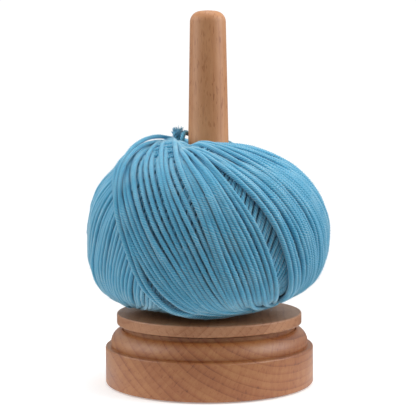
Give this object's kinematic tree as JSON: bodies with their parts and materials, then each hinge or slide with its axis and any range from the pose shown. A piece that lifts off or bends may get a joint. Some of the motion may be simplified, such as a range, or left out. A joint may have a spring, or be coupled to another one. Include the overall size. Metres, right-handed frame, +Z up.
{
  "type": "yarn holder",
  "caption": "Wooden yarn holder: a tapered spindle on a turntable that spins on a ball bearing in a turned round base, carrying a wound ball of yarn.",
  "frame": {"origin": "centre of the round felt underside, on the surface that the holder stands on", "axes": "+Z up along the spindle, +X to the right seen from the front, -Y towards the front"},
  "size_m": [0.1208, 0.1208, 0.185],
  "materials": {
    "beech_base": "satin clear varnish, end grain in front",
    "beech_disc": "satin clear varnish",
    "beech_spindle": "satin clear varnish, grain along the length",
    "felt": "pressed wool felt",
    "bearing_steel": "ground and polished",
    "shield_steel": "pressed sheet",
    "zinc_steel": "bright zinc plate",
    "cage_polyamide": "moulded",
    "nylon": "moulded",
    "yarn": "soft plied wool and acrylic yarn"
  },
  "bodies": {
    "base": {"base_block": "beech_base", "felt_pad": "felt", "bearing_outer_ring": "bearing_steel", "bearing_shield_upper": "shield_steel", "bearing_shield_lower": "shield_steel"},
    "turntable": {"turntable_disc": "beech_disc", "spindle": "beech_spindle", "hanger_bolt": "zinc_steel", "disc_washer": "zinc_steel", "upper_spacer": "zinc_steel", "bearing_inner_ring": "bearing_steel", "lower_spacer": "zinc_steel", "lock_nut": "zinc_steel", "nylon_ring": "nylon"},
    "ball_set": {"bearing_cage": "cage_polyamide", "bearing_ball_1": "bearing_steel", "bearing_ball_2": "bearing_steel", "bearing_ball_3": "bearing_steel", "bearing_ball_4": "bearing_steel", "bearing_ball_5": "bearing_steel", "bearing_ball_6": "bearing_steel", "bearing_ball_7": "bearing_steel"},
    "yarn": {"yarn_ball": "yarn", "yarn_tail": "yarn"}
  },
  "joints": [
    {"name": "turntable_spin", "type": "hinge", "parent": "base", "child": "turntable", "pos_m": [0, 0, 0.0245], "axis": [0, 0, 1], "continuous": true},
    {"name": "ball_set_roll", "type": "hinge", "parent": "base", "child": "ball_set", "pos_m": [0, 0, 0.0245], "axis": [0, 0, 1], "continuous": true},
    {"name": "yarn_lift", "type": "slide", "parent": "turntable", "child": "yarn", "axis": [0, 0, 1], "range_m": [0, 0.155]}
  ],
  "couplings": [
    {"joint": "ball_set_roll", "follows": "turntable_spin", "ratio": 0.3677}
  ]
}
